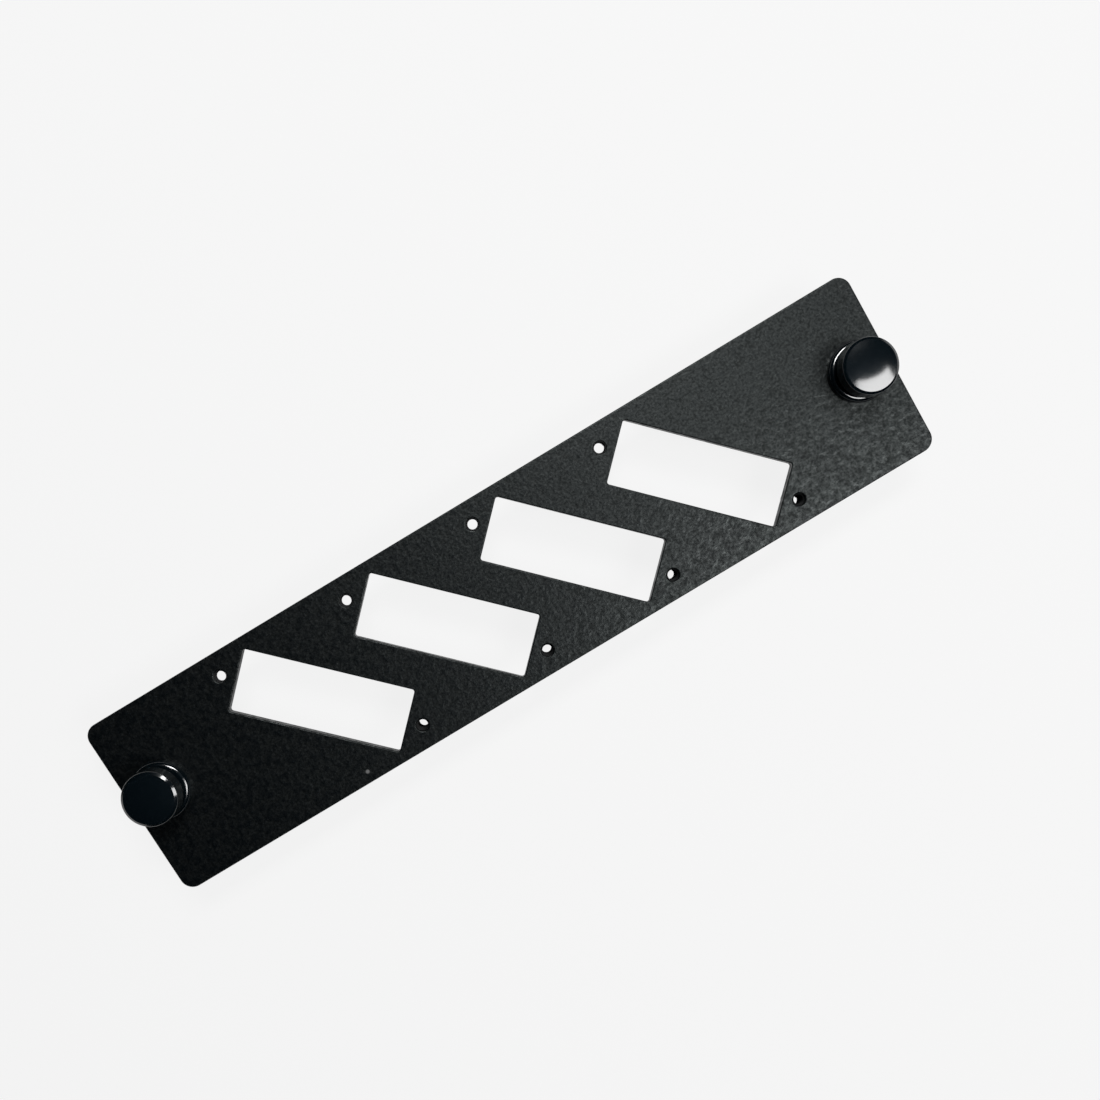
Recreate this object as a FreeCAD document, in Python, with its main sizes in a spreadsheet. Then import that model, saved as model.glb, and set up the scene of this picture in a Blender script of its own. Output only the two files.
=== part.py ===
# Adapter plate for a fibre patch enclosure: a punched steel sheet with four turned cut-outs,
# held to its rack frame by a push-pull latch at each end. Millimetres.
# The origin is the middle of the sheet's back face. +X runs along the sheet, +Z out of its front.
import FreeCAD, Part
import Sketcher
import math
import os

# Every driving dimension: the alias that the formulas use, the size and what it measures.
DIMENSIONS = [
    ("plate_length", 130.0, "sheet, end to end"),
    ("plate_thickness", 1.5, "sheet, back face to front face"),
    ("plate_corner_radius", 2.0, "corners of the sheet"),
    ("edge_round", 0.2, "rounding of the coated rims of the sheet and the cut-outs"),
    ("cutout_count", 4, "adapter cut-outs in the row"),
    ("cutout_pitch", 21.7, "from one cut-out's centre to the next"),
    ("cutout_angle", 45.0, "turn of a cut-out's long axis away from the sheet's, in degrees"),
    ("cutout_length", 25.9, "cut-out along its own axis"),
    ("cutout_width", 9.6, "cut-out across its own axis"),
    ("cutout_corner_radius", 0.4, "inside corners of a cut-out"),
    ("edge_margin", 1.75, "from a cut-out's corners to the long edges of the sheet"),
    ("screw_setback", 2.35, "from the end of a cut-out to the centre of its screw hole"),
    ("thread_diameter", 1.9, "threaded screw hole, across the bottoms of its thread"),
    ("thread_entry_round", 0.2, "rounded mouth of a screw hole"),
    ("collar_diameter", 3.2, "outside of the collar behind a cut-out's lower screw hole"),
    ("collar_height", 2.5, "collar, behind the back face"),
    ("latch_inset", 5.2, "latch axis, in from the end of the sheet"),
    ("latch_offset", 0.9, "latch axes above the sheet's centre line"),
    ("latch_hole_diameter", 5.6, "hole in the sheet for a latch"),
    ("barrel_clearance", 0.1, "all round a grommet's barrel, in the sheet"),
    ("flange_overlap", 1.75, "how far the grommet flange covers the sheet around the hole"),
    ("flange_height", 1.3, "grommet flange, above the front face"),
    ("flange_round", 0.75, "rounded rim of the flange"),
    ("frame_grip", 2.5, "straight barrel behind the sheet, where the rack frame sits"),
    ("bulge_step", 0.4, "how far the legs bulge out beyond the barrel"),
    ("bulge_lead", 0.6, "slope from the barrel out to the bulge"),
    ("bulge_height", 0.8, "straight part of the bulge"),
    ("leg_length", 7.0, "legs, from the back face to their tips"),
    ("leg_taper", 0.2, "how far the leg tips draw in from the barrel"),
    ("leg_count", 4, "legs of a grommet"),
    ("slot_width", 0.8, "slot between two legs"),
    ("slot_start", 1.0, "upper end of the slots, behind the back face"),
    ("guide_depth", 0.8, "lower end of the guiding bore, behind the back face"),
    ("running_clearance", 0.08, "all round the plunger, inside the grommet"),
    ("shank_diameter", 2.8, "plunger shank"),
    ("bulb_step", 0.4, "how far the bulb that keeps the plunger in stands out of the shank"),
    ("bulb_height", 0.7, "straight part of the bulb"),
    ("nose_taper", 0.5, "how far the flat nose draws in from the shank"),
    ("nose_length", 0.7, "slope from the nose to the bulb"),
    ("nose_inset", 0.4, "nose above the tips of the legs"),
    ("seat_gap", 0.05, "between the flange and the pushed-in plunger"),
    ("neck_depth", 1.0, "groove for a fingernail, in from the head's lower rim"),
    ("neck_height", 1.2, "height of that groove"),
    ("head_diameter", 8.4, "plunger head at its lower rim"),
    ("head_lip", 0.4, "sloped underside of the head"),
    ("head_taper", 0.15, "how far the top rim of the head draws in"),
    ("head_height", 2.6, "plunger head, underside to the foot of its dome"),
    ("head_round", 0.15, "rounding of both rims of the head"),
    ("bevel_width", 0.4, "bevel between the top rim and the dome, from above"),
    ("bevel_drop", 0.28, "how far the bevel falls away"),
    ("crown_height", 0.32, "dome on the head"),
]

# Places and radii that several pieces share, as formulas of the sizes above.
FRONT_FACE = "sizes.plate_thickness"
CUTOUT_REACH = (
    "(sizes.cutout_length * sin(sizes.cutout_angle * 1deg)"
    " + sizes.cutout_width * cos(sizes.cutout_angle * 1deg)) / 2"
)
PLATE_WIDTH = f"2 * ({CUTOUT_REACH} + sizes.edge_margin)"
FIRST_CUTOUT = "-(sizes.cutout_count - 1) / 2 * sizes.cutout_pitch"
SCREW_REACH = "(sizes.cutout_length / 2 + sizes.screw_setback)"
LATCH_REACH = "(sizes.plate_length / 2 - sizes.latch_inset)"
FLANGE_TOP = "sizes.plate_thickness + sizes.flange_height"
FLANGE_RADIUS = "sizes.latch_hole_diameter / 2 + sizes.flange_overlap"
BARREL_RADIUS = "sizes.latch_hole_diameter / 2 - sizes.barrel_clearance"
BULGE_RADIUS = BARREL_RADIUS + " + sizes.bulge_step"
LEG_TIP_RADIUS = BARREL_RADIUS + " - sizes.leg_taper"
BULGE_TOP = "-(sizes.frame_grip + sizes.bulge_lead)"
BULGE_FOOT = "-(sizes.frame_grip + sizes.bulge_lead + sizes.bulge_height)"
BULB_RADIUS = "sizes.shank_diameter / 2 + sizes.bulb_step"
NOSE_RADIUS = "sizes.shank_diameter / 2 - sizes.nose_taper"
BORE_RADIUS = "sizes.shank_diameter / 2 + sizes.running_clearance"
CHAMBER_RADIUS = BULB_RADIUS + " + sizes.running_clearance"
HEAD_RADIUS = "sizes.head_diameter / 2"
NECK_RADIUS = HEAD_RADIUS + " - sizes.neck_depth"
HEAD_TOP_RADIUS = HEAD_RADIUS + " - sizes.head_taper"
DOME_RIM_RADIUS = HEAD_TOP_RADIUS + " - sizes.bevel_width"
BELOW_LEGS = "-(sizes.leg_length + sizes.nose_inset)"
NOSE = "-sizes.leg_length + sizes.nose_inset"
BULB_FOOT = NOSE + " + sizes.nose_length"
BULB_TOP = BULB_FOOT + " + sizes.bulb_height"
SHANK_FOOT = BULB_TOP + " + sizes.bulb_step"
NECK_FOOT = FLANGE_TOP + " + sizes.seat_gap"
NECK_TOP = NECK_FOOT + " + sizes.neck_height"
HEAD_LIP = NECK_TOP + " + sizes.head_lip"
DOME_RIM = NECK_TOP + " + sizes.head_height"
HEAD_RIM = DOME_RIM + " - sizes.bevel_drop"
HEAD_CROWN = DOME_RIM + " + sizes.crown_height"

# How near two measures must lie to count as the same.
SAME = 1e-4

# Marks a profile point that lies on the turning axis.
ON_AXIS = None


def fill_sheet(document):
    """Write the driving dimensions into the document's sheet."""
    sheet = document.addObject("Spreadsheet::Sheet", "sizes")
    for row, (alias, size, note) in enumerate(DIMENSIONS, start=1):
        sheet.set(f"A{row}", alias)
        sheet.set(f"B{row}", str(size))
        sheet.set(f"C{row}", note)
        sheet.setAlias(f"B{row}", alias)
    document.recompute()
    return sheet


def value(document, formula):
    """The number that a formula of the sheet's sizes gives now."""
    return float(document.sizes.evalExpression(formula))


def new_body(document, label):
    body = document.addObject("PartDesign::Body", label)
    body.Label = label
    return body


def origin_part(body, role):
    """One of the body's own origin planes or axes."""
    return next(item for item in body.Origin.OriginFeatures if item.Role == role)


def new_sketch(body, name, plane):
    sketch = body.newObject("Sketcher::SketchObject", name)
    sketch.AttachmentSupport = [(origin_part(body, plane), "")]
    sketch.MapMode = "FlatFace"
    return sketch


def bind(sketch, kind, references, formula, name):
    """Add a dimension to a sketch and tie it to a formula."""
    size = value(sketch.Document, formula)
    index = sketch.addConstraint(Sketcher.Constraint(kind, *references, size))
    sketch.renameConstraint(index, name)
    sketch.setExpression(f"Constraints.{name}", formula)


def draw_rounded_rectangle(sketch, length, width, radius):
    """A rectangle with arcs at its corners, centred on the sketch's origin."""
    document = sketch.Document
    half_length = value(document, length) / 2
    half_width = value(document, width) / 2
    corner = value(document, radius)
    lines = []
    arcs = []
    for turn in range(4):
        reach, depth = (half_length, half_width) if turn % 2 == 0 else (half_width, half_length)
        rotation = FreeCAD.Rotation(FreeCAD.Vector(0, 0, 1), 90 * turn)
        start = rotation.multVec(FreeCAD.Vector(corner - reach, -depth, 0))
        end = rotation.multVec(FreeCAD.Vector(reach - corner, -depth, 0))
        centre = rotation.multVec(FreeCAD.Vector(reach - corner, corner - depth, 0))
        lines.append(sketch.addGeometry(Part.LineSegment(start, end), False))
        circle = Part.Circle(centre, FreeCAD.Vector(0, 0, 1), corner)
        first_angle = math.radians(90 * turn - 90)
        last_angle = math.radians(90 * turn)
        arcs.append(sketch.addGeometry(Part.ArcOfCircle(circle, first_angle, last_angle), False))
    for turn in range(4):
        following = lines[(turn + 1) % 4]
        sketch.addConstraint(Sketcher.Constraint("Tangent", lines[turn], 2, arcs[turn], 1))
        sketch.addConstraint(Sketcher.Constraint("Tangent", arcs[turn], 2, following, 1))
        direction = "Horizontal" if turn % 2 == 0 else "Vertical"
        sketch.addConstraint(Sketcher.Constraint(direction, lines[turn]))
    for arc in arcs[1:]:
        sketch.addConstraint(Sketcher.Constraint("Equal", arcs[0], arc))
    sketch.addConstraint(Sketcher.Constraint("Symmetric", lines[0], 1, lines[2], 1, -1, 1))
    bind(sketch, "Radius", (arcs[0],), radius, "corner")
    bind(sketch, "DistanceX", (lines[3], 1, lines[1], 1), length, "length")
    bind(sketch, "DistanceY", (lines[0], 1, lines[2], 1), width, "width")


def draw_upright_slot(sketch, width, top, foot):
    """A rectangle centred on the sketch's vertical axis, between two heights."""
    document = sketch.Document
    half_width = value(document, width) / 2
    upper = value(document, top)
    lower = value(document, foot)
    corners = [
        FreeCAD.Vector(-half_width, lower, 0),
        FreeCAD.Vector(half_width, lower, 0),
        FreeCAD.Vector(half_width, upper, 0),
        FreeCAD.Vector(-half_width, upper, 0),
    ]
    lines = []
    for start, end in zip(corners, corners[1:] + corners[:1]):
        lines.append(sketch.addGeometry(Part.LineSegment(start, end), False))
    for number, line in enumerate(lines):
        following = lines[(number + 1) % 4]
        sketch.addConstraint(Sketcher.Constraint("Coincident", line, 2, following, 1))
    sketch.addConstraint(Sketcher.Constraint("Horizontal", lines[0]))
    sketch.addConstraint(Sketcher.Constraint("Vertical", lines[1]))
    sketch.addConstraint(Sketcher.Constraint("Vertical", lines[3]))
    sketch.addConstraint(Sketcher.Constraint("Symmetric", lines[2], 1, lines[2], 2, -2))
    bind(sketch, "DistanceX", (lines[0], 1, lines[0], 2), width, "width")
    bind(sketch, "DistanceY", (-1, 1, lines[2], 1), top, "top")
    bind(sketch, "DistanceY", (-1, 1, lines[0], 1), foot, "foot")


def draw_circle(sketch, name, across, up, diameter):
    """A circle whose centre is given by formulas; None puts it on that axis of the sketch."""
    document = sketch.Document
    x = 0 if across is None else value(document, across)
    y = 0 if up is None else value(document, up)
    radius = value(document, diameter) / 2
    shape = Part.Circle(FreeCAD.Vector(x, y, 0), FreeCAD.Vector(0, 0, 1), radius)
    circle = sketch.addGeometry(shape, False)
    if across is None:
        sketch.addConstraint(Sketcher.Constraint("PointOnObject", circle, 3, -2))
    else:
        bind(sketch, "DistanceX", (-1, 1, circle, 3), across, f"{name}_across")
    if up is None:
        sketch.addConstraint(Sketcher.Constraint("PointOnObject", circle, 3, -1))
    else:
        bind(sketch, "DistanceY", (-1, 1, circle, 3), up, f"{name}_up")
    bind(sketch, "Diameter", (circle,), diameter, f"{name}_diameter")


def draw_profile(sketch, points, domed_from=None):
    """A closed outline through named points, each at a radius and a height.

    The stretch that starts at the point called domed_from is an arc centred on the axis.
    """
    document = sketch.Document
    places = []
    for name, radius, height in points:
        across = 0 if radius is ON_AXIS else value(document, radius)
        places.append(FreeCAD.Vector(across, value(document, height), 0))
    edges = []
    for index, (name, radius, height) in enumerate(points):
        start = places[index]
        end = places[(index + 1) % len(places)]
        if name == domed_from:
            rise = end.y - start.y
            dome_radius = (start.x ** 2 + rise ** 2) / (2 * rise)
            centre = FreeCAD.Vector(0, end.y - dome_radius, 0)
            circle = Part.Circle(centre, FreeCAD.Vector(0, 0, 1), dome_radius)
            first_angle = math.atan2(start.y - centre.y, start.x)
            edge = sketch.addGeometry(Part.ArcOfCircle(circle, first_angle, math.pi / 2), False)
            sketch.addConstraint(Sketcher.Constraint("PointOnObject", edge, 3, -2))
        else:
            edge = sketch.addGeometry(Part.LineSegment(start, end), False)
        edges.append(edge)
    for index, edge in enumerate(edges):
        following = edges[(index + 1) % len(edges)]
        sketch.addConstraint(Sketcher.Constraint("Coincident", edge, 2, following, 1))
    for edge, (name, radius, height) in zip(edges, points):
        if radius is ON_AXIS:
            sketch.addConstraint(Sketcher.Constraint("PointOnObject", edge, 1, -2))
        else:
            bind(sketch, "DistanceX", (-1, 1, edge, 1), radius, f"{name}_radius")
        bind(sketch, "DistanceY", (-1, 1, edge, 1), height, f"{name}_height")


def add_feature(body, kind, name, profile, grows, **settings):
    """Add a sketched feature and make sure that it adds or removes material as it should."""
    before = body.Shape.Volume if body.Tip else 0
    feature = body.newObject(f"PartDesign::{kind}", name)
    feature.Profile = profile
    formulas = settings.pop("formulas", {})
    for setting, content in settings.items():
        setattr(feature, setting, content)
    for setting, formula in formulas.items():
        feature.setExpression(setting, formula)
    profile.Visibility = False
    body.Document.recompute()
    change = feature.Shape.Volume - before
    if (change > 0) != grows or abs(change) < SAME:
        raise RuntimeError(f"{body.Label}: {name} changed the volume by {change:.4f}")
    return feature


def repeat(body, kind, name, originals, axis, **formulas):
    """Repeat features in a row along an axis, or in a ring around it."""
    pattern = body.newObject(f"PartDesign::{kind}", name)
    pattern.Originals = originals
    if kind == "LinearPattern":
        pattern.Direction = (origin_part(body, axis), [""])
        pattern.Mode = "Spacing"
    else:
        pattern.Axis = (origin_part(body, axis), [""])
        pattern.Angle = 360
    for setting, formula in formulas.items():
        pattern.setExpression(setting, formula)
    body.Tip = pattern
    body.Document.recompute()
    return pattern


def round_edges(body, name, radius, chosen):
    """Round those edges of the body's last feature that the test picks."""
    base = body.Tip
    names = [f"Edge{number}" for number, edge in enumerate(base.Shape.Edges, start=1) if chosen(edge)]
    if not names:
        raise RuntimeError(f"{body.Label}: {name} found no edges")
    fillet = body.newObject("PartDesign::Fillet", name)
    fillet.Base = (base, names)
    fillet.setExpression("Radius", radius)
    body.Tip = fillet
    body.Document.recompute()
    return fillet


def is_rim(edge, radius, height):
    """Whether an edge is a full circle of this radius at this height, around any upright axis."""
    if edge.Degenerated or not edge.Closed or not isinstance(edge.Curve, Part.Circle):
        return False
    return abs(edge.Curve.Radius - radius) < SAME and abs(edge.Curve.Center.z - height) < SAME


def cutout_sketch(body, name, depth=None):
    """A sketch turned with the first cut-out: its origin is the cut-out's centre."""
    sketch = new_sketch(body, name, "XY_Plane")
    angle = value(body.Document, "sizes.cutout_angle")
    turned = FreeCAD.Rotation(FreeCAD.Vector(0, 0, -1), angle)
    sketch.AttachmentOffset = FreeCAD.Placement(FreeCAD.Vector(0, 0, 0), turned)
    sketch.setExpression("AttachmentOffset.Base.x", FIRST_CUTOUT)
    sketch.setExpression("AttachmentOffset.Rotation.Angle", "sizes.cutout_angle")
    if depth:
        sketch.setExpression("AttachmentOffset.Base.z", depth)
    return sketch


def make_plate(document):
    """The sheet: outline, row of cut-outs with their screw holes, and the two latch holes.

    The screw hole at a cut-out's upper end is tapped in the sheet alone. The lower one goes on
    through a collar behind the sheet.
    """
    body = new_body(document, "plate")
    outline = new_sketch(body, "plate_outline", "XY_Plane")
    draw_rounded_rectangle(
        outline, "sizes.plate_length", PLATE_WIDTH, "sizes.plate_corner_radius"
    )
    add_feature(body, "Pad", "blank", outline, True, formulas={"Length": "sizes.plate_thickness"})

    window = cutout_sketch(body, "cutout_outline")
    draw_rounded_rectangle(
        window, "sizes.cutout_length", "sizes.cutout_width", "sizes.cutout_corner_radius"
    )
    through_sheet = {"Length": "2 * sizes.plate_thickness"}
    cutout = add_feature(
        body, "Pocket", "cutout", window, False, Reversed=True, formulas=through_sheet
    )
    upper_end = cutout_sketch(body, "screw_hole_place")
    draw_circle(upper_end, "thread", f"-{SCREW_REACH}", None, "sizes.thread_diameter")
    screw_hole = add_feature(
        body, "Pocket", "screw_hole", upper_end, False, Reversed=True, formulas=through_sheet
    )
    lower_end = cutout_sketch(body, "collar_place")
    draw_circle(lower_end, "collar", SCREW_REACH, None, "sizes.collar_diameter")
    collar = add_feature(
        body, "Pad", "collar", lower_end, True, Reversed=True,
        formulas={"Length": "sizes.collar_height"},
    )
    collar_end = cutout_sketch(body, "thread_place", "-sizes.collar_height")
    draw_circle(collar_end, "thread", SCREW_REACH, None, "sizes.thread_diameter")
    thread = add_feature(
        body, "Pocket", "thread", collar_end, False, Reversed=True,
        formulas={"Length": "sizes.collar_height + 2 * sizes.plate_thickness"},
    )
    repeat(
        body, "LinearPattern", "cutout_row", [cutout, screw_hole, collar, thread], "X_Axis",
        Offset="sizes.cutout_pitch", Occurrences="sizes.cutout_count",
    )

    latch_places = new_sketch(body, "latch_places", "XY_Plane")
    for name, side in (("left", "-"), ("right", "")):
        across = side + LATCH_REACH
        draw_circle(latch_places, name, across, "sizes.latch_offset", "sizes.latch_hole_diameter")
    add_feature(
        body, "Pocket", "latch_holes", latch_places, False, Reversed=True, formulas=through_sheet
    )

    thickness = value(document, "sizes.plate_thickness")
    thread_radius = value(document, "sizes.thread_diameter / 2")
    round_edges(
        body, "thread_mouths", "sizes.thread_entry_round",
        lambda edge: is_rim(edge, thread_radius, thickness),
    )

    def on_a_face(edge):
        heights = [vertex.Z for vertex in edge.Vertexes]
        level = max(heights) - min(heights) < SAME
        outer = min(abs(heights[0]), abs(heights[0] - thickness)) < SAME
        return level and outer and not edge.Closed

    round_edges(body, "coated_rims", "sizes.edge_round", on_a_face)
    return body


def place_latch_piece(body, side):
    """Put a piece of a latch on its axis: side is -1 at the left end and 1 at the right."""
    body.setExpression("Placement.Base.x", f"{side} * {LATCH_REACH}")
    body.setExpression("Placement.Base.y", "sizes.latch_offset")


def make_grommet(document, label, side):
    """Flange on the front face, barrel through the sheet, and split legs behind it."""
    body = new_body(document, label)
    section = new_sketch(body, f"{label}_section", "XZ_Plane")
    draw_profile(
        section,
        [
            ("bore_top", BORE_RADIUS, FLANGE_TOP),
            ("bore_foot", BORE_RADIUS, "-sizes.guide_depth"),
            ("chamber_top", CHAMBER_RADIUS, "-sizes.guide_depth"),
            ("tip_inside", CHAMBER_RADIUS, "-sizes.leg_length"),
            ("tip_outside", LEG_TIP_RADIUS, "-sizes.leg_length"),
            ("bulge_foot", BULGE_RADIUS, BULGE_FOOT),
            ("bulge_top", BULGE_RADIUS, BULGE_TOP),
            ("barrel_foot", BARREL_RADIUS, "-sizes.frame_grip"),
            ("barrel_top", BARREL_RADIUS, FRONT_FACE),
            ("flange_foot", FLANGE_RADIUS, FRONT_FACE),
            ("flange_top", FLANGE_RADIUS, FLANGE_TOP),
        ],
    )
    add_feature(
        body, "Revolution", f"{label}_turned", section, True,
        ReferenceAxis=(section, ["V_Axis"]), Angle=360,
    )
    flange_radius = value(document, FLANGE_RADIUS)
    flange_top = value(document, FLANGE_TOP)
    round_edges(
        body, f"{label}_rim", "sizes.flange_round",
        lambda edge: is_rim(edge, flange_radius, flange_top),
    )

    slot_place = new_sketch(body, f"{label}_slot_place", "YZ_Plane")
    draw_upright_slot(slot_place, "sizes.slot_width", "-sizes.slot_start", BELOW_LEGS)
    slot = add_feature(
        body, "Pocket", f"{label}_slot", slot_place, False, Reversed=True,
        formulas={"Length": "2 * (" + BULGE_RADIUS + ")"},
    )
    repeat(
        body, "PolarPattern", f"{label}_slots", [slot], "Z_Axis", Occurrences="sizes.leg_count"
    )
    place_latch_piece(body, side)
    return body


def make_plunger(document, label, side):
    """Domed head over a finger groove, shank through the grommet, bulb between its legs."""
    body = new_body(document, label)
    section = new_sketch(body, f"{label}_section", "XZ_Plane")
    draw_profile(
        section,
        [
            ("nose", ON_AXIS, NOSE),
            ("nose_rim", NOSE_RADIUS, NOSE),
            ("bulb_foot", BULB_RADIUS, BULB_FOOT),
            ("bulb_top", BULB_RADIUS, BULB_TOP),
            ("shank_foot", "sizes.shank_diameter / 2", SHANK_FOOT),
            ("shank_top", "sizes.shank_diameter / 2", NECK_FOOT),
            ("neck_foot", NECK_RADIUS, NECK_FOOT),
            ("neck_top", NECK_RADIUS, NECK_TOP),
            ("head_lip", HEAD_RADIUS, HEAD_LIP),
            ("head_rim", HEAD_TOP_RADIUS, HEAD_RIM),
            ("dome_rim", DOME_RIM_RADIUS, DOME_RIM),
            ("crown", ON_AXIS, HEAD_CROWN),
        ],
        domed_from="dome_rim",
    )
    add_feature(
        body, "Revolution", f"{label}_turned", section, True,
        ReferenceAxis=(section, ["V_Axis"]), Angle=360,
    )
    rims = [
        (value(document, HEAD_RADIUS), value(document, HEAD_LIP)),
        (value(document, HEAD_TOP_RADIUS), value(document, HEAD_RIM)),
    ]
    round_edges(
        body, f"{label}_rims", "sizes.head_round",
        lambda edge: any(is_rim(edge, radius, height) for radius, height in rims),
    )
    place_latch_piece(body, side)
    return body


def check_document(document, bodies):
    """Stop if any object failed to build, or a piece is not one valid solid."""
    for item in document.Objects:
        faults = [state for state in item.State if state in ("Invalid", "Error")]
        if faults:
            raise RuntimeError(f"{item.Name} is {', '.join(faults)}")
    for body in bodies:
        shape = body.Shape
        if shape.isNull() or not shape.isValid() or len(shape.Solids) != 1:
            raise RuntimeError(f"{body.Label} is not one valid solid")


def main():
    document = FreeCAD.newDocument("fibre_adapter_plate")
    fill_sheet(document)
    bodies = [make_plate(document)]
    for name, side in (("left", -1), ("right", 1)):
        bodies.append(make_grommet(document, f"{name}_grommet", side))
        bodies.append(make_plunger(document, f"{name}_plunger", side))
    document.recompute()
    check_document(document, bodies)
    os.makedirs("parts", exist_ok=True)
    for body in bodies:
        body.Shape.exportStep(f"parts/{body.Label}.step")
        box = body.Shape.BoundBox
        print(
            f"{body.Label}: volume {body.Shape.Volume:.2f} mm3,"
            f" x {box.XMin:.2f} to {box.XMax:.2f}, y {box.YMin:.2f} to {box.YMax:.2f},"
            f" z {box.ZMin:.2f} to {box.ZMax:.2f}"
        )


main()
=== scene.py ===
# %% [markdown]
# A fibre adapter plate, dressed around its frame.
# The plate is one punched steel sheet with a black wrinkle powder coat. A push-pull latch of
# black nylon sits at each end: a grommet clipped through the sheet and a plunger inside it.
# The frame already holds those five pieces at their real size. Their shapes are right, so this
# lesson keeps them and spends its time on finishes, threads, light and the camera.

# %% Load the frame
import math

import bpy
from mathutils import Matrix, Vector


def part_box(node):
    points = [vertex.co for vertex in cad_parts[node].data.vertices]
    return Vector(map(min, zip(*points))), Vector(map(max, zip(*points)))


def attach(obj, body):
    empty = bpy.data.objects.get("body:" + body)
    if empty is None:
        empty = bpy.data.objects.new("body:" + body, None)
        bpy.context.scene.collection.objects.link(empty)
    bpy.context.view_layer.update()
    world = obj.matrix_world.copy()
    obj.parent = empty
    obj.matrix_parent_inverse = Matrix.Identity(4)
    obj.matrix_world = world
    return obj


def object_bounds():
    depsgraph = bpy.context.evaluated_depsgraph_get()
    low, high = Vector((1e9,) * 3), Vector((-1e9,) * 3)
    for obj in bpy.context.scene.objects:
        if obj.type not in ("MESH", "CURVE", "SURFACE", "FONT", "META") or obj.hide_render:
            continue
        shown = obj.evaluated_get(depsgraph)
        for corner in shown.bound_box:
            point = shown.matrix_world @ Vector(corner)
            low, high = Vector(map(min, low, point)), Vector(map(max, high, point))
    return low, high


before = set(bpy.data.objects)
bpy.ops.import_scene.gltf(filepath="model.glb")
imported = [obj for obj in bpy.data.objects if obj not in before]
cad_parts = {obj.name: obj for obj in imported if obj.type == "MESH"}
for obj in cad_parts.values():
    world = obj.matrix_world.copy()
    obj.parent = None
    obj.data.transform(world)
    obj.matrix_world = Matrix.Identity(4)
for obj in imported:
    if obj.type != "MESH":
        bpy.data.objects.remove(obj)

MM = 0.001
cad_low, cad_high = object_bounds()
print("frame box in mm:", [round(v / MM, 2) for v in (*cad_low, *cad_high)])

# %% [markdown]
# The camera comes first, because every later choice is judged through it.
# The photo looks down on the front face from close by, with the plate turned about 31 degrees in
# the picture, so the near end looks larger. The camera was placed by lining up the plate's
# corners, the cut-outs' corners, the small holes and the latch heads with the photo, all at once.
# The heads stand nearer to the lens than the sheet, so they slide sideways when the camera does.
# They only line up if the picture is a crop from beside the lens's middle: a small lens shift.

# %% Place the camera
CAMERA_PLACE = Vector((2.201, 7.388, 134.086)) * MM
CAMERA_TURN = [math.radians(angle) for angle in (-4.8816, -1.8345, -30.9264)]
LENS_SHIFT = (0.0218, 0.0579)
FOCAL_LENGTH_PX = 900
PHOTO_SIDE_PX = 1100
SENSOR_WIDTH = 36.0

camera_data = bpy.data.cameras.new("photo_camera")
camera_data.sensor_width = SENSOR_WIDTH
camera_data.lens = SENSOR_WIDTH * FOCAL_LENGTH_PX / PHOTO_SIDE_PX
camera_data.shift_x, camera_data.shift_y = LENS_SHIFT
camera_data.clip_start = 5 * MM
camera = bpy.data.objects.new("photo_camera", camera_data)
camera.location = CAMERA_PLACE
camera.rotation_euler = CAMERA_TURN
bpy.context.scene.collection.objects.link(camera)
bpy.context.scene.camera = camera
print("lens in mm:", round(camera_data.lens, 2))

# %% [markdown]
# A material is a small graph of nodes. These helpers add a node, set its plain values and join
# two sockets, so that each finish below reads as a short recipe.
# All patterns read Object coordinates: one unit is one metre of the real piece, so a noise scale
# of 2000 gives grains of about half a millimetre, whatever the piece's size.

# %% Helpers for node graphs
def new_material(name):
    material = bpy.data.materials.new(name)
    material.use_nodes = True
    material.node_tree.nodes.clear()
    return material


def add_node(material, kind, **settings):
    """Add a node. A setting named for an input sets that input's plain value."""
    node = material.node_tree.nodes.new(kind)
    for name, content in settings.items():
        if name in node.inputs:
            node.inputs[name].default_value = content
        else:
            setattr(node, name, content)
    return node


def set_inputs(node, values):
    for name, content in values.items():
        node.inputs[name].default_value = content


def join(material, source, output, target, target_input):
    material.node_tree.links.new(source.outputs[output], target.inputs[target_input])


def add_ramp(material, source, output, start, end, low, high):
    """Turn a pattern into a colour: low up to the start, high from the end."""
    ramp = add_node(material, "ShaderNodeValToRGB")
    first, last = ramp.color_ramp.elements
    first.position, first.color = start, low
    last.position, last.color = end, high
    join(material, source, output, ramp, "Fac")
    return ramp


def mix_patterns(material, share, first, second):
    """Blend the values of two noises: share is the second one's part."""
    blend = add_node(material, "ShaderNodeMix", data_type="FLOAT")
    blend.inputs[0].default_value = share
    join(material, first, "Fac", blend, 2)
    join(material, second, "Fac", blend, 3)
    return blend


def finish_with(material, shader):
    output = add_node(material, "ShaderNodeOutputMaterial")
    material.node_tree.links.new(shader.outputs[0], output.inputs["Surface"])
    return material
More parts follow.
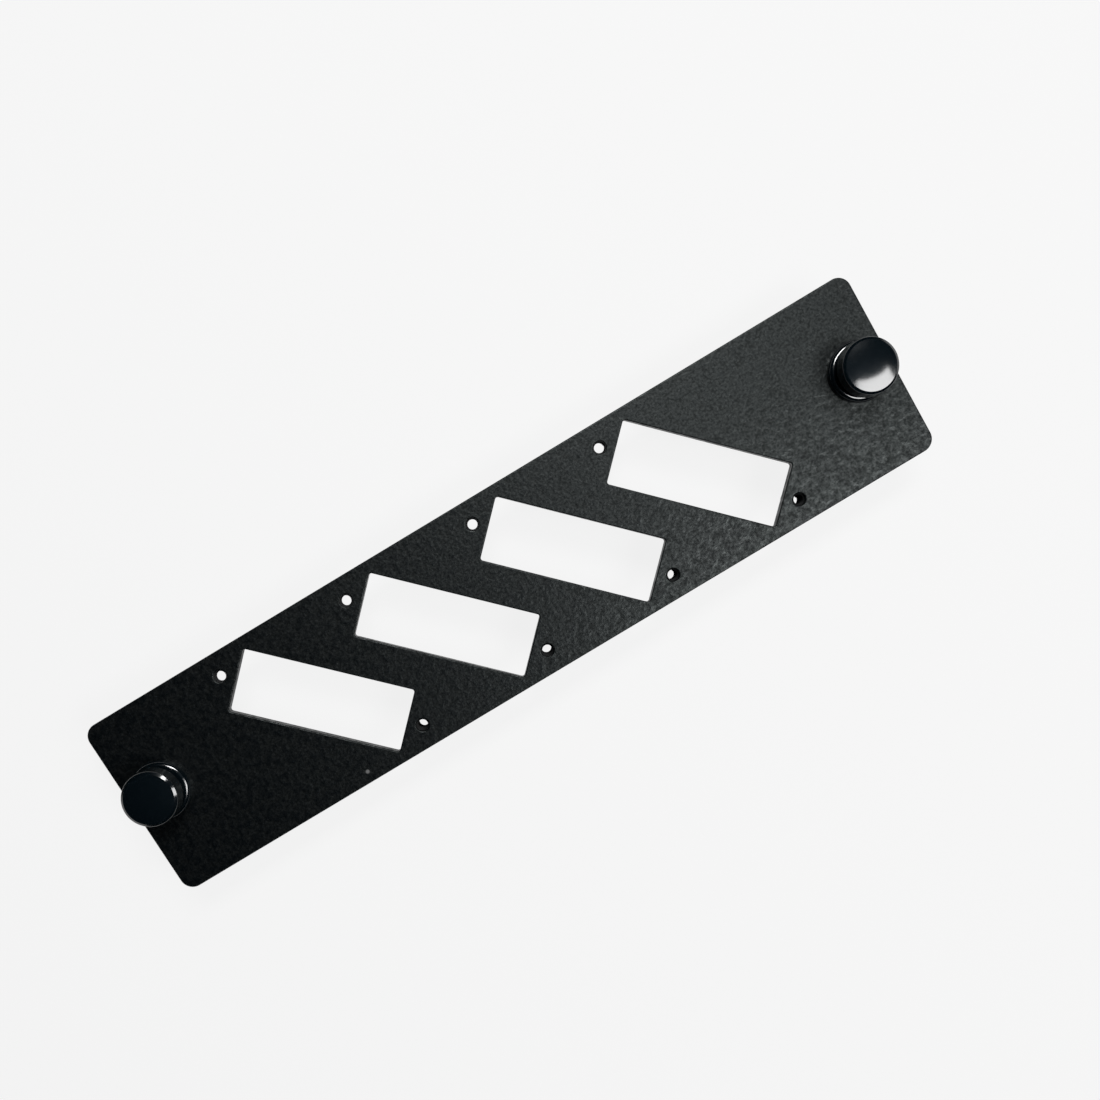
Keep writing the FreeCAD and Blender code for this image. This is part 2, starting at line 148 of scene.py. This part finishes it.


# %% [markdown]
# The powder coat is baked on as a fine wrinkle. Up close it looks like leather: shallow grains
# just under a millimetre across, with a finer pattern of a third of a millimetre on them.
# Two noises at those scales feed one bump node. They also vary how much the coat mirrors, because
# the tops of the wrinkle shine and its valleys don't, and that is what makes the grain visible
# between the two lamps, where slopes alone cancel out. The coat is nearly black by itself. What
# reads as dark grey towards the right is light off the lamps, so the base colour stays dark and
# the gloss does the work.
# One pale speck shows in the coat below the first cut-out. It has no partner at the other
# cut-outs, so it is a blemish.
# Its pale dot of colour here is a painted highlight: the blemish's glint, painted into the coat.

# %% Powder coat
COAT_DARK = (0.0000, 0.0002, 0.0005, 1)
COAT_LIGHT = (0.0001, 0.0005, 0.0010, 1)
VALLEY_GLINT = (0.40, 0.44, 0.43, 1)
RIDGE_GLINT = (0.96, 1.04, 1.02, 1)
# The speck's pale colour below is a painted highlight: the glint off a small blemish in the coat.
BLEMISH_GLINT_COLOUR = (0.10, 0.10, 0.10, 1)
BLEMISH_GLINT_PLACE = Vector((-32.4, -12.6, 1.5)) * MM
BLEMISH_GLINT_RADIUS = 0.38 * MM
GRAIN_SCALE = 1150
FINE_SCALE = 2700
FINE_SHARE_OF_HEIGHT = 0.10
FINE_SHARE_OF_GLINT = 0.62
GRAIN_DEPTH = 0.15 * MM
GRAIN_STRENGTH = 0.6
GRAIN_LOW, GRAIN_HIGH = 0.35, 0.65
GLINT_LOW, GLINT_HIGH = 0.39, 0.61
SMOOTHEST, ROUGHEST = 0.34, 0.52
COAT_SPECULAR = 0.34
COAT_IOR = 1.5


def make_powder_coat():
    coat = new_material("black_wrinkle_coat")
    place = add_node(coat, "ShaderNodeTexCoord")
    grain = add_node(coat, "ShaderNodeTexNoise", Scale=GRAIN_SCALE, Detail=2.0, Roughness=0.5)
    fine = add_node(coat, "ShaderNodeTexNoise", Scale=FINE_SCALE, Detail=2.0, Roughness=0.5)
    join(coat, place, "Object", grain, "Vector")
    join(coat, place, "Object", fine, "Vector")

    height = mix_patterns(coat, FINE_SHARE_OF_HEIGHT, grain, fine)
    bump = add_node(coat, "ShaderNodeBump", Strength=GRAIN_STRENGTH, Distance=GRAIN_DEPTH)
    join(coat, height, 0, bump, "Height")
    gloss = add_node(coat, "ShaderNodeMapRange")
    set_inputs(gloss, {"From Min": GRAIN_LOW, "From Max": GRAIN_HIGH})
    set_inputs(gloss, {"To Min": ROUGHEST, "To Max": SMOOTHEST})
    join(coat, grain, "Fac", gloss, "Value")
    tone = add_ramp(coat, grain, "Fac", GRAIN_LOW, GRAIN_HIGH, COAT_DARK, COAT_LIGHT)

    # Painted highlight: a pale dot at the blemish stands in for the glint off it.
    away = add_node(coat, "ShaderNodeVectorMath", operation="DISTANCE")
    away.inputs[1].default_value = BLEMISH_GLINT_PLACE
    join(coat, place, "Object", away, 0)
    blemish_glint_mask = add_node(coat, "ShaderNodeMapRange", interpolation_type="SMOOTHSTEP")
    set_inputs(blemish_glint_mask, {"From Min": BLEMISH_GLINT_RADIUS, "From Max": 0.5 * BLEMISH_GLINT_RADIUS})
    join(coat, away, "Value", blemish_glint_mask, "Value")
    colour = add_node(coat, "ShaderNodeMix", data_type="RGBA")
    colour.inputs[7].default_value = BLEMISH_GLINT_COLOUR
    join(coat, blemish_glint_mask, "Result", colour, 0)
    join(coat, tone, "Color", colour, 6)
    blotches = mix_patterns(coat, FINE_SHARE_OF_GLINT, grain, fine)
    glint = add_ramp(coat, blotches, 0, GLINT_LOW, GLINT_HIGH, VALLEY_GLINT, RIDGE_GLINT)

    shader = add_node(coat, "ShaderNodeBsdfPrincipled", IOR=COAT_IOR)
    set_inputs(shader, {"Specular IOR Level": COAT_SPECULAR})
    join(coat, glint, "Color", shader, "Specular Tint")
    join(coat, gloss, "Result", shader, "Roughness")
    join(coat, colour, 2, shader, "Base Color")
    join(coat, bump, "Normal", shader, "Normal")
    return finish_with(coat, shader)


coat = make_powder_coat()
print("coat nodes:", len(coat.node_tree.nodes))

# %% [markdown]
# The latches are moulded in black nylon. The heads mirror the lamp with a slightly soft edge, so
# the roughness is low but not nought. A mould is never quite perfect: a faint, wide noise bends
# the reflection a little, and a finer one varies the gloss.

# %% Black nylon
NYLON_COLOUR = (0.0010, 0.0024, 0.0034, 1)
NYLON_SPECULAR = 0.65
NYLON_IOR = 1.6
NYLON_SMOOTHEST, NYLON_ROUGHEST = 0.10, 0.15
SINK_SCALE = 350
SINK_DEPTH = 0.05 * MM
SINK_STRENGTH = 0.2
GLOSS_SCALE = 1200


def make_nylon():
    nylon = new_material("black_nylon")
    place = add_node(nylon, "ShaderNodeTexCoord")
    sink = add_node(nylon, "ShaderNodeTexNoise", Scale=SINK_SCALE, Detail=1.0)
    gloss = add_node(nylon, "ShaderNodeTexNoise", Scale=GLOSS_SCALE, Detail=3.0)
    join(nylon, place, "Object", sink, "Vector")
    join(nylon, place, "Object", gloss, "Vector")
    bump = add_node(nylon, "ShaderNodeBump", Strength=SINK_STRENGTH, Distance=SINK_DEPTH)
    join(nylon, sink, "Fac", bump, "Height")
    roughness = add_node(nylon, "ShaderNodeMapRange")
    set_inputs(roughness, {"To Min": NYLON_SMOOTHEST, "To Max": NYLON_ROUGHEST})
    join(nylon, gloss, "Fac", roughness, "Value")
    shader = add_node(nylon, "ShaderNodeBsdfPrincipled", IOR=NYLON_IOR)
    set_inputs(shader, {"Base Color": NYLON_COLOUR, "Specular IOR Level": NYLON_SPECULAR})
    join(nylon, roughness, "Result", shader, "Roughness")
    join(nylon, bump, "Normal", shader, "Normal")
    return finish_with(nylon, shader)


nylon = make_nylon()
print("nylon nodes:", len(nylon.node_tree.nodes))

# %% Give each piece of the frame its finish
FINISHES = {
    "plate": (coat, "powder_coat"),
    "left_grommet": (nylon, "black_nylon"),
    "right_grommet": (nylon, "black_nylon"),
    "left_plunger": (nylon, "black_nylon"),
    "right_plunger": (nylon, "black_nylon"),
}
for name, (material, slot) in FINISHES.items():
    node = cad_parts[name]
    node.data.materials.clear()
    node.data.materials.append(material)
    print(name, "wears", material.name)

# %% [markdown]
# Each of the eight screw holes is tapped for a fine M2 screw. The frame leaves the bores plain, so
# the thread is added here, as a ridge that winds up the wall of each bore.
# A thread is the classic use of the Screw modifier. A flat circle of three corners is the ridge's
# section: stood upright at the bore's wall, it is swept round and up at the same time. The first
# ridge is then copied to the other bores of its kind, each copy with its own mesh.

# %% Thread sizes
THREAD_PITCH = 0.4 * MM
RIDGE_DEPTH = 0.20 * MM
RIDGE_FOOT = 0.36 * MM
BORE_RADIUS = 0.95 * MM
WALL_SINK = 0.01 * MM
STEPS_PER_TURN = 24
SCREW_SPACING = 30.6 * MM
CUTOUT_COUNT = 4
CUTOUT_PITCH = 21.7 * MM
SHEET_FRONT = 1.5 * MM
MOUTH_ROUND = 0.2 * MM
COLLAR_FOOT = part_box("plate")[0].z
thread_top = SHEET_FRONT - MOUTH_ROUND
print("collars reach down to mm:", round(COLLAR_FOOT / MM, 2))

# %% Coat in the bores
THREAD_DARK = (0.0022, 0.0026, 0.0030, 1)
THREAD_LIGHT = (0.0060, 0.0062, 0.0064, 1)
THREAD_ROUGHNESS = 0.6
THREAD_SPECULAR = 0.2


def make_thread_coat():
    coat_in_bore = new_material("coat_in_bore")
    place = add_node(coat_in_bore, "ShaderNodeTexCoord")
    spots = add_node(coat_in_bore, "ShaderNodeTexNoise", Scale=FINE_SCALE, Detail=2.0)
    join(coat_in_bore, place, "Object", spots, "Vector")
    tone = add_ramp(coat_in_bore, spots, "Fac", 0, 1, THREAD_DARK, THREAD_LIGHT)
    shader = add_node(coat_in_bore, "ShaderNodeBsdfPrincipled", Roughness=THREAD_ROUGHNESS)
    set_inputs(shader, {"Specular IOR Level": THREAD_SPECULAR})
    join(coat_in_bore, tone, "Color", shader, "Base Color")
    return finish_with(coat_in_bore, shader)


thread_coat = make_thread_coat()
print("thread coat nodes:", len(thread_coat.node_tree.nodes))

# %% Wind one ridge
def wind_ridge(name, foot, top):
    """A thread ridge around the Z axis, between two heights."""
    turns = (top - foot - RIDGE_FOOT) / THREAD_PITCH
    bpy.ops.object.select_all(action="DESELECT")
    bpy.ops.mesh.primitive_circle_add(vertices=3, radius=RIDGE_DEPTH)
    ridge = bpy.context.object
    ridge.name = name
    corners = [(WALL_SINK, RIDGE_FOOT / 2), (WALL_SINK, -RIDGE_FOOT / 2), (-RIDGE_DEPTH, 0)]
    for vertex, (outwards, upwards) in zip(ridge.data.vertices, corners):
        vertex.co = (BORE_RADIUS + outwards, 0, foot + RIDGE_FOOT / 2 + upwards)
    winding = ridge.modifiers.new("winding", "SCREW")
    winding.angle = math.tau * turns
    winding.screw_offset = THREAD_PITCH * turns
    winding.steps = winding.render_steps = round(STEPS_PER_TURN * turns)
    winding.use_smooth_shade = False
    bpy.ops.object.modifier_apply(modifier=winding.name)
    bpy.ops.object.mode_set(mode="EDIT")
    bpy.ops.mesh.select_all(action="DESELECT")
    bpy.ops.mesh.select_non_manifold()
    bpy.ops.mesh.fill()
    bpy.ops.mesh.select_all(action="SELECT")
    bpy.ops.mesh.normals_make_consistent(inside=False)
    bpy.ops.object.mode_set(mode="OBJECT")
    print(name, "turns:", round(turns, 2), "faces:", len(ridge.data.polygons))
    return ridge


# %% Put a ridge into every bore
def move_mesh(piece, across, along):
    for vertex in piece.data.vertices:
        vertex.co.x += across
        vertex.co.y += along


half_reach = SCREW_SPACING / 2 * math.sqrt(0.5)
for row, side, foot in (("upper", -1, 0.0), ("lower", 1, COLLAR_FOOT)):
    first = wind_ridge(f"{row}_thread_1", foot, thread_top)
    threads = [first]
    for number in range(2, CUTOUT_COUNT + 1):
        copy = first.copy()
        copy.data = first.data.copy()
        copy.name = f"{row}_thread_{number}"
        bpy.context.scene.collection.objects.link(copy)
        threads.append(copy)
    for number, thread in enumerate(threads):
        centre = (number - (CUTOUT_COUNT - 1) / 2) * CUTOUT_PITCH
        move_mesh(thread, centre + side * half_reach, -side * half_reach)
        thread.data.materials.append(thread_coat)
        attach(thread, "panel")
    print(row, "threads:", [thread.name for thread in threads])

# %% [markdown]
# The floor is a pale sheet at the height of the latches' leg tips, where the part really rests.
# The photo's background is a flat, nearly white grey. So rays that come straight from the
# camera, or through a mirror or glass, see a pale floor that mostly shines by itself, plus a
# share that is lit and so keeps the object's shadow. All other rays see plain matt white.

# %% Floor
FLOOR_HEIGHT = cad_low.z
FLOOR_SIDE = 8.0
FLOOR_GLOW = 0.855
FLOOR_LIT_COLOUR = (0.045, 0.045, 0.045, 1)
FLOOR_MATT_COLOUR = (0.8, 0.8, 0.8, 1)


def make_floor_material():
    pale = new_material("pale_floor")
    path = add_node(pale, "ShaderNodeLightPath")
    seen = add_node(pale, "ShaderNodeMath", operation="ADD", use_clamp=True)
    seen_all = add_node(pale, "ShaderNodeMath", operation="ADD", use_clamp=True)
    join(pale, path, "Is Camera Ray", seen, 0)
    join(pale, path, "Is Glossy Ray", seen, 1)
    join(pale, seen, 0, seen_all, 0)
    join(pale, path, "Is Transmission Ray", seen_all, 1)
    matt = add_node(pale, "ShaderNodeBsdfDiffuse", Color=FLOOR_MATT_COLOUR)
    lit = add_node(pale, "ShaderNodeBsdfDiffuse", Color=FLOOR_LIT_COLOUR)
    glow = add_node(pale, "ShaderNodeEmission", Strength=FLOOR_GLOW)
    shown = add_node(pale, "ShaderNodeAddShader")
    join(pale, lit, 0, shown, 0)
    join(pale, glow, 0, shown, 1)
    choice = add_node(pale, "ShaderNodeMixShader")
    join(pale, seen_all, 0, choice, 0)
    join(pale, matt, 0, choice, 1)
    join(pale, shown, 0, choice, 2)
    pale.cycles.emission_sampling = "NONE"
    return finish_with(pale, choice)


bpy.ops.object.select_all(action="DESELECT")
bpy.ops.mesh.primitive_plane_add(size=FLOOR_SIDE, location=(0, 0, FLOOR_HEIGHT))
floor = bpy.context.object
floor.name = "pale_floor"
floor.data.materials.append(make_floor_material())
print("floor at mm:", round(FLOOR_HEIGHT / MM, 2))

# %% [markdown]
# Black things are seen by what they mirror. In the photo the latch heads mirror a dark room and
# one wide soft lamp beyond the plate's lower edge. Its edge draws the inner line of the white
# crescent on the right head, so the lamp's upper outline was found from that crescent, point by
# point: it runs along the plate and sags towards its middle. The same lamp shines off the coat.
# Its lower left part lies where the heads don't mirror it, and lights the plate's middle. The
# lamp is a flat sheet of light with many corners, which an area lamp can't be, so it is a mesh
# that emits.

# %% Wide lamp
SQUARE_CM = 0.0001
WIDE_LAMP_CORNERS_MM = (
    (101, -44), (114, -50), (133, -60), (154, -67), (176, -73), (202, -77), (229, -79),
    (264, -76), (300, -68), (315, -110), (315, -242), (20, -242), (20, -125), (97, -85),
)
WIDE_LAMP_HEIGHT = 350 * MM
WIDE_LAMP_RADIANCE = 10.4


def hide_from_camera(piece):
    piece.visible_camera = False


bpy.ops.object.select_all(action="DESELECT")
bpy.ops.mesh.primitive_circle_add(vertices=len(WIDE_LAMP_CORNERS_MM), fill_type="NGON")
wide_lamp = bpy.context.object
wide_lamp.name = "wide_lamp"
for vertex, (across, along) in zip(wide_lamp.data.vertices, WIDE_LAMP_CORNERS_MM):
    vertex.co = (across * MM, along * MM, WIDE_LAMP_HEIGHT)
lamp_light = new_material("lamp_light")
emission = add_node(lamp_light, "ShaderNodeEmission", Strength=WIDE_LAMP_RADIANCE)
wide_lamp.data.materials.append(finish_with(lamp_light, emission))
hide_from_camera(wide_lamp)
print("wide lamp in square cm:", round(wide_lamp.data.polygons[0].area / SQUARE_CM, 1))

# %% [markdown]
# A second soft lamp hangs beyond the upper edge and draws the short glints on the latches' upper
# rims. It also shines off the upper half of the coat, which the wide lamp alone would leave too
# dark. It hangs far enough out that the heads' domes don't mirror it.
# An area lamp's power is its brightness times its area times pi.

# %% Upper lamp
UPPER_LAMP_PLACE = Vector((140, 200, 340)) * MM
UPPER_LAMP_ACROSS = 220 * MM
UPPER_LAMP_DEEP = 110 * MM
UPPER_LAMP_RADIANCE = 27

upper_data = bpy.data.lights.new("upper_lamp", "AREA")
upper_data.shape = "RECTANGLE"
upper_data.size = UPPER_LAMP_ACROSS
upper_data.size_y = UPPER_LAMP_DEEP
upper_data.energy = UPPER_LAMP_RADIANCE * math.pi * UPPER_LAMP_ACROSS * UPPER_LAMP_DEEP
upper_lamp = bpy.data.objects.new("upper_lamp", upper_data)
upper_lamp.location = UPPER_LAMP_PLACE
bpy.context.scene.collection.objects.link(upper_lamp)
print("upper lamp in watts:", round(upper_data.energy, 3))

# %% [markdown]
# The dark room is a black box over the floor, open below and hidden from the camera. The
# surroundings outside it are the same pale grey as the floor, for views that look past its edge.

# %% Dark room and surroundings
ROOM_HEIGHT = 0.5
ROOM_SIDE = 4.0
CARD_COLOUR = (0.035, 0.045, 0.055, 1)
SURROUNDINGS_COLOUR = (0.905, 0.905, 0.905, 1)

bpy.ops.object.select_all(action="DESELECT")
bpy.ops.mesh.primitive_cube_add(size=1, location=(0, 0, FLOOR_HEIGHT + ROOM_HEIGHT / 2))
room = bpy.context.object
room.name = "dark_room"
room.scale = (ROOM_SIDE, ROOM_SIDE, ROOM_HEIGHT)
bpy.ops.object.transform_apply(location=True, scale=True)
bpy.ops.object.mode_set(mode="EDIT")
bpy.ops.mesh.select_all(action="DESELECT")
bpy.ops.object.mode_set(mode="OBJECT")
for face in room.data.polygons:
    face.select = face.normal.z < -0.5
bpy.ops.object.mode_set(mode="EDIT")
bpy.ops.mesh.select_mode(type="FACE")
bpy.ops.mesh.delete(type="FACE")
bpy.ops.object.mode_set(mode="OBJECT")
black_card = new_material("black_card")
finish_with(black_card, add_node(black_card, "ShaderNodeBsdfDiffuse", Color=CARD_COLOUR))
room.data.materials.append(black_card)
hide_from_camera(room)
print("room faces:", len(room.data.polygons))

world = bpy.data.worlds.new("pale_surroundings")
bpy.context.scene.world = world
world.use_nodes = True
background = world.node_tree.nodes["Background"]
background.inputs["Color"].default_value = SURROUNDINGS_COLOUR
background.inputs["Strength"].default_value = 1.0
bpy.context.scene.view_settings.view_transform = "Standard"
